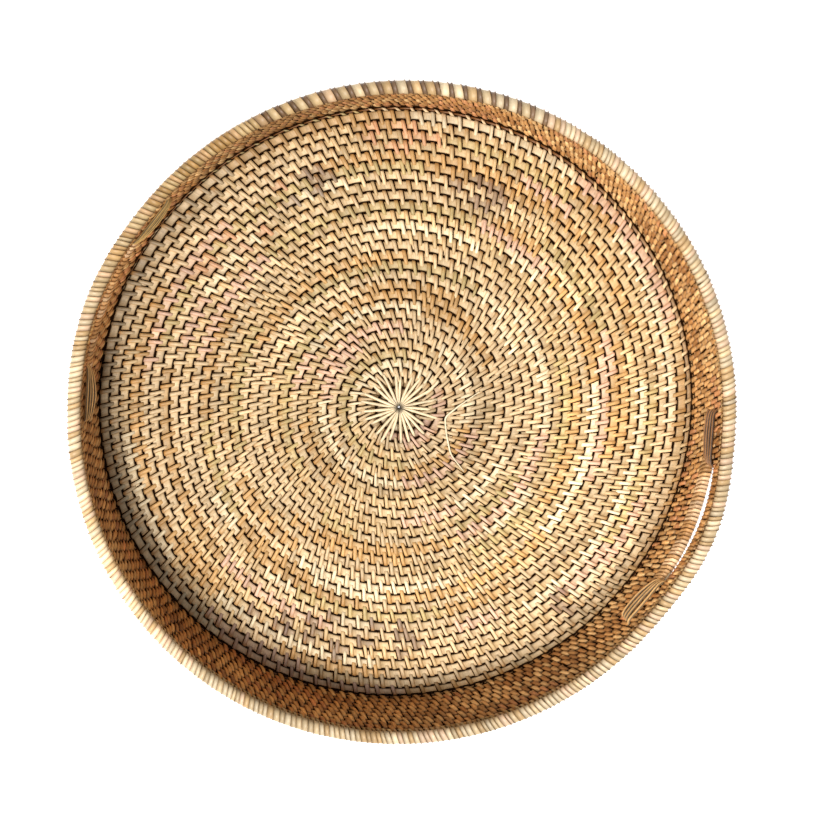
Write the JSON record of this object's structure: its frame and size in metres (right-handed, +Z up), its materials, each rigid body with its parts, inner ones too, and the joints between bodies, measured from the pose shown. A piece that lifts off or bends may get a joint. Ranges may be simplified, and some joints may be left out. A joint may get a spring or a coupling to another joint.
{
  "type": "coiled cane tray basket",
  "caption": "Round shallow tray basket of coiled cane with a spiral floor, a low flared wall, a wrapped rim and hand slots at opposite sides.",
  "frame": {"origin": "centre of the underside, on the surface that the basket stands on", "axes": "+Z up out of the basket's mouth; +X from the centre through the middle of one hand slot, with the other slot on -X"},
  "size_m": [0.5016, 0.4992, 0.0878],
  "materials": {
    "floor_cane": "natural split cane, pale straw, satin",
    "wall_cane": "natural split cane, golden brown, satin",
    "rim_cane": "natural split cane, cream, slightly glossy skin",
    "lashing_cane": "natural split cane, light brown, satin"
  },
  "bodies": {
    "root": {"hub_start": "floor_cane", "hub_splints": "floor_cane", "floor_coil_1": "floor_cane", "floor_coil_2": "floor_cane", "floor_coil_3": "floor_cane", "floor_coil_4": "floor_cane", "floor_coil_5": "floor_cane", "floor_coil_6": "floor_cane", "loose_splint": "floor_cane", "base_coil": "wall_cane", "wall_coil_1": "wall_cane", "wall_coil_2": "wall_cane", "wall_coil_3": "wall_cane", "wall_coil_4": "wall_cane", "wall_coil_5": "wall_cane", "wall_coil_6": "wall_cane", "side_coil_back": "wall_cane", "side_coil_front": "wall_cane", "grip_coil_lower": "wall_cane", "grip_coil_upper": "wall_cane", "rim_core": "rim_cane", "rim_wrap": "rim_cane", "lashing_right_back_1": "lashing_cane", "lashing_right_back_2": "lashing_cane", "lashing_right_back_3": "lashing_cane", "lashing_right_back_4": "lashing_cane", "lashing_right_front_1": "lashing_cane", "lashing_right_front_2": "lashing_cane", "lashing_right_front_3": "lashing_cane", "lashing_right_front_4": "lashing_cane", "lashing_left_back_1": "lashing_cane", "lashing_left_back_2": "lashing_cane", "lashing_left_back_3": "lashing_cane", "lashing_left_back_4": "lashing_cane", "lashing_left_front_1": "lashing_cane", "lashing_left_front_2": "lashing_cane", "lashing_left_front_3": "lashing_cane", "lashing_left_front_4": "lashing_cane"}
  },
  "joints": []
}
